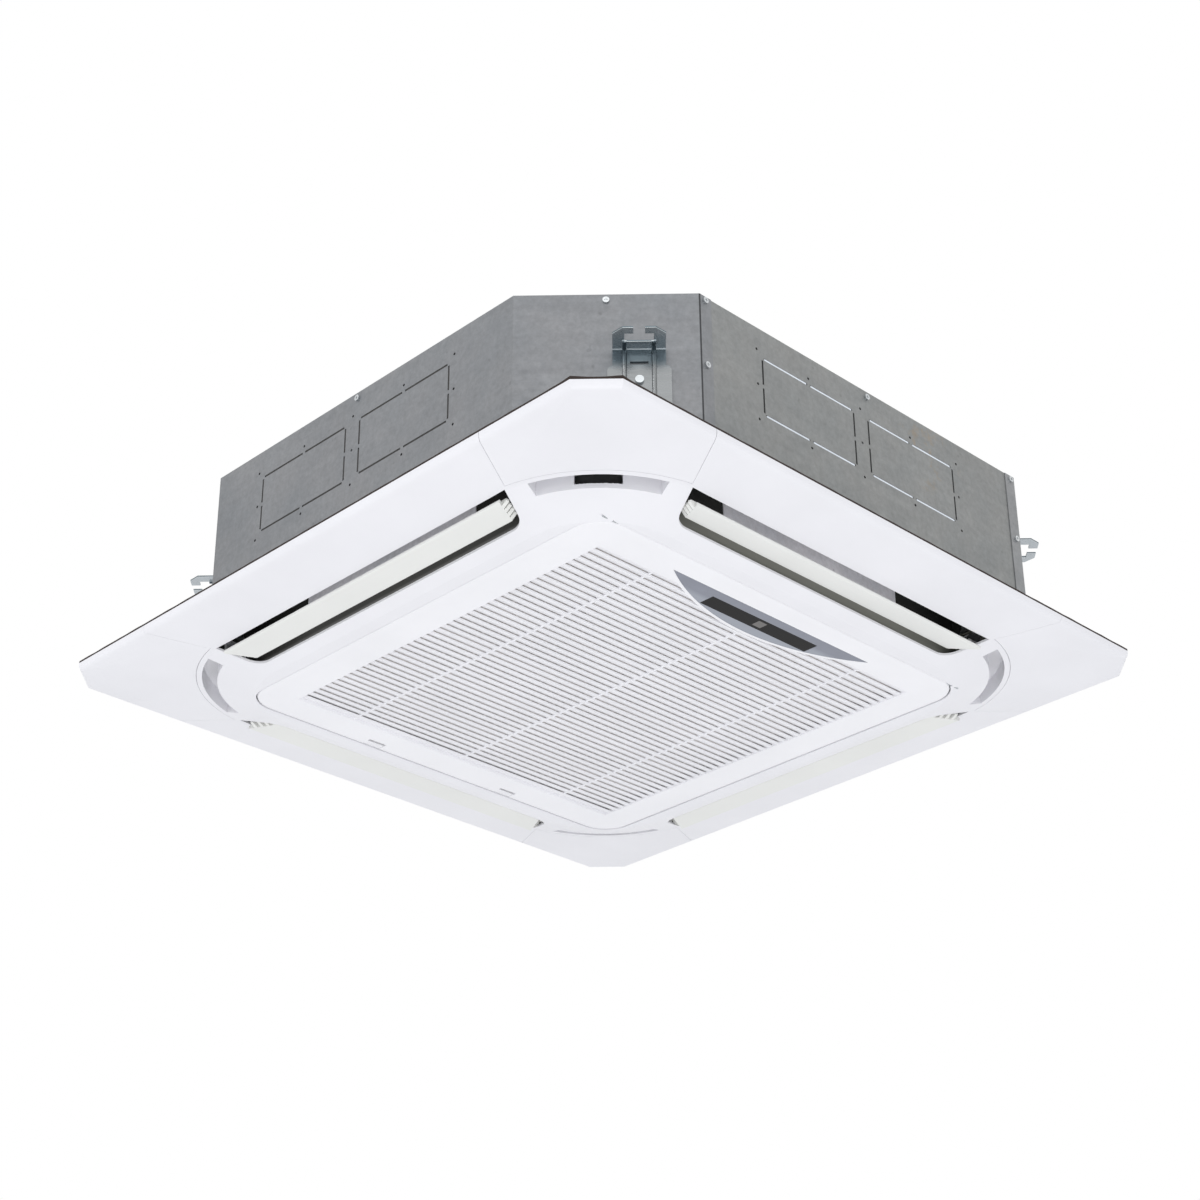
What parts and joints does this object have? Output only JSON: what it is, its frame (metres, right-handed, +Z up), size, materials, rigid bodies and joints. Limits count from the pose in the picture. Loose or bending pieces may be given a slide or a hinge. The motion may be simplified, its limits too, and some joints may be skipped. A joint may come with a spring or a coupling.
{
  "type": "ceiling cassette air conditioner",
  "caption": "Four-way ceiling cassette: octagonal sheet-steel casing with hanging brackets above a square fascia with swinging air vanes, corner outlets and a hinged intake grille with filter",
  "frame": {"origin": "centre of the square fascia, in the plane of its lowest face", "axes": "+Z up towards the ceiling void, front (display side and grille hinge side) towards -Y, piping side towards +X"},
  "size_m": [0.95, 0.95, 0.251],
  "materials": {
    "fascia_white": "satin moulded plastic",
    "grille_white": "satin moulded plastic",
    "vane_white": "satin moulded plastic, slightly warm",
    "liner_dark": "dark flocked foam sleeve",
    "lens_grey": "glossy blue-grey",
    "window_dark": "glossy smoked",
    "receiver_smoke": "glossy smoked",
    "filter_grey": "matte",
    "filter_net": "open net",
    "galvanised": "galvanised sheet",
    "zinc_bracket": "zinc plated sheet",
    "zinc_screw": "zinc plated",
    "foam_white": "expanded foam",
    "foam_black": "closed-cell foam",
    "coil_fins": "bare fins",
    "copper": "drawn copper",
    "brass_nut": "forged brass",
    "motor_grey": "painted",
    "fan_plastic": "moulded plastic",
    "pump_plastic": "moulded plastic",
    "bush_grey": "moulded plastic"
  },
  "bodies": {
    "unit": {"base_ring": "galvanised", "box_lid": "galvanised", "case_back": "galvanised", "case_front": "galvanised", "case_wrap_left": "galvanised", "case_wrap_right": "galvanised", "casing_screws": "zinc_screw", "coil": "coil_fins", "coil_end_plates": "galvanised", "coil_tubes": "copper", "corner_cover_far": "fascia_white", "corner_cover_left": "fascia_white", "corner_cover_near": "fascia_white", "corner_cover_right": "fascia_white", "drain_outlet": "pump_plastic", "drain_pan": "foam_white", "drain_pump": "pump_plastic", "duct_plates": "galvanised", "electrical_box": "galvanised", "fan_motor": "motor_grey", "flare_nuts": "brass_nut", "float_switch": "pump_plastic", "foam_seal": "foam_black", "gas_pipe": "copper", "hanger_far": "zinc_bracket", "hanger_left": "zinc_bracket", "hanger_near": "zinc_bracket", "hanger_right": "zinc_bracket", "hanger_screws": "zinc_screw", "inlet_ring": "fan_plastic", "insulation_liner": "foam_white", "liquid_pipe": "copper", "outlet_liner_back": "liner_dark", "outlet_liner_front": "liner_dark", "outlet_liner_left": "liner_dark", "outlet_liner_right": "liner_dark", "panel_bolts": "zinc_screw", "panel_frame": "fascia_white", "pipe_plate": "galvanised", "swing_motors": "motor_grey", "top_plate": "galvanised", "vane_bushings": "bush_grey"},
    "grille": {"grille_door": "grille_white", "hinge_pins": "zinc_screw", "display_lens": "lens_grey", "display_window": "window_dark", "receiver_lens": "receiver_smoke", "filter_frame": "filter_grey", "filter_mesh": "filter_net"},
    "latch_slider_left": {"latch_left": "grille_white"},
    "latch_slider_right": {"latch_right": "grille_white"},
    "front_vane": {"vane_front": "vane_white"},
    "right_vane": {"vane_right": "vane_white"},
    "back_vane": {"vane_back": "vane_white"},
    "left_vane": {"vane_left": "vane_white"},
    "fan": {"turbo_fan": "fan_plastic", "fan_nut": "zinc_screw", "motor_shaft": "zinc_screw"},
    "float": {"float_ring": "pump_plastic"}
  },
  "joints": [
    {"name": "grille_hinge", "type": "hinge", "parent": "unit", "child": "grille", "pos_m": [0, -0.311, 0.0024], "axis": [-1, 0, 0], "range_deg": [0, 90]},
    {"name": "latch_slide_left", "type": "slide", "parent": "grille", "child": "latch_slider_left", "axis": [0, -1, 0], "range_m": [0, 0.005]},
    {"name": "latch_slide_right", "type": "slide", "parent": "grille", "child": "latch_slider_right", "axis": [0, -1, 0], "range_m": [0, 0.005]},
    {"name": "front_vane_swing", "type": "hinge", "parent": "unit", "child": "front_vane", "pos_m": [0, -0.369, 0.018], "axis": [1, 0, 0], "range_deg": [-29, 27]},
    {"name": "right_vane_swing", "type": "hinge", "parent": "unit", "child": "right_vane", "pos_m": [0.369, 0, 0.018], "axis": [0, 1, 0], "range_deg": [-16, 40]},
    {"name": "back_vane_swing", "type": "hinge", "parent": "unit", "child": "back_vane", "pos_m": [0, 0.369, 0.018], "axis": [-1, 0, 0], "range_deg": [-16, 40]},
    {"name": "left_vane_swing", "type": "hinge", "parent": "unit", "child": "left_vane", "pos_m": [-0.369, 0, 0.018], "axis": [0, -1, 0], "range_deg": [-16, 40]},
    {"name": "fan_spin", "type": "hinge", "parent": "unit", "child": "fan", "pos_m": [0, 0, 0.17], "axis": [0, 0, 1], "continuous": true},
    {"name": "float_slide", "type": "slide", "parent": "unit", "child": "float", "axis": [0, 0, 1], "range_m": [0, 0.008]}
  ]
}
